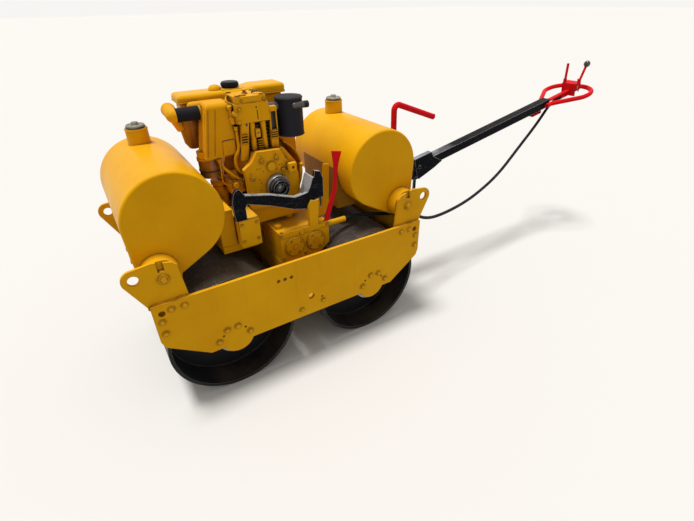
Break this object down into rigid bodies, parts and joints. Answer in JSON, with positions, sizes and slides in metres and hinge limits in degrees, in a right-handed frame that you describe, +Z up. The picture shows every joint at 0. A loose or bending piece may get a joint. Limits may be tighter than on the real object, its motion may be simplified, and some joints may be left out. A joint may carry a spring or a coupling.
{
  "type": "walk-behind double-drum road roller",
  "caption": "Walk-behind roller on smooth steel drums with water tanks, open engine, gearbox, side plates and a hinged drawbar that ends in a handle loop",
  "frame": {"origin": "on the ground, midway between the drum axes and the drum ends", "axes": "+X forward, away from the drawbar; +Y to the machine's left; +Z up"},
  "size_m": [2.7363, 0.646, 1.081],
  "materials": {
    "yellow_paint": "gloss",
    "black_paint": "satin",
    "drum_steel": "worn satin",
    "red_paint": "satin",
    "cap_metal": "worn matt",
    "bare_steel": "worn",
    "silencer_black": "matt",
    "hose_rubber": "matt",
    "cable_cover": "satin"
  },
  "bodies": {
    "chassis": {"air_cleaner": "yellow_paint", "axle_front_left": "bare_steel", "axle_front_right": "bare_steel", "axle_rear_left": "bare_steel", "axle_rear_right": "bare_steel", "centre_frame": "yellow_paint", "control_cable": "cable_cover", "cooling_cowl": "yellow_paint", "crank_hub": "black_paint", "crankcase": "yellow_paint", "cylinder": "yellow_paint", "cylinder_head": "yellow_paint", "drawbar_bracket": "black_paint", "ear_plate_front_left": "yellow_paint", "ear_plate_front_right": "yellow_paint", "ear_plate_rear_left": "yellow_paint", "ear_plate_rear_right": "yellow_paint", "engine_bed": "yellow_paint", "fan_housing": "yellow_paint", "front_apron": "yellow_paint", "front_beam": "yellow_paint", "front_tank": "yellow_paint", "front_tank_cap": "cap_metal", "fuel_cap": "black_paint", "fuel_tank": "yellow_paint", "gearbox": "yellow_paint", "guard_bar": "black_paint", "intake_elbow": "yellow_paint", "intake_hose": "hose_rubber", "mounting_block": "yellow_paint", "rear_beam": "yellow_paint", "rear_tank": "yellow_paint", "rear_tank_cap": "cap_metal", "shift_lever": "red_paint", "side_plate_left": "yellow_paint", "side_plate_right": "yellow_paint", "silencer": "silencer_black", "start_crank": "red_paint", "timing_cover": "yellow_paint"},
    "front_drum": {"front_drum": "drum_steel"},
    "rear_drum": {"rear_drum": "drum_steel"},
    "drawbar": {"drawbar": "black_paint", "handle_loop": "red_paint", "lever_box": "red_paint", "hand_levers": "red_paint"}
  },
  "joints": [
    {"name": "front_drum_roll", "type": "hinge", "parent": "chassis", "child": "front_drum", "pos_m": [0.312, 0, 0.25], "axis": [0, 1, 0], "continuous": true},
    {"name": "rear_drum_roll", "type": "hinge", "parent": "chassis", "child": "rear_drum", "pos_m": [-0.312, 0, 0.25], "axis": [0, 1, 0], "continuous": true},
    {"name": "drawbar_lift", "type": "hinge", "parent": "chassis", "child": "drawbar", "pos_m": [-0.801, 0, 0.6165], "axis": [0, 1, 0], "range_deg": [0, 60]}
  ]
}
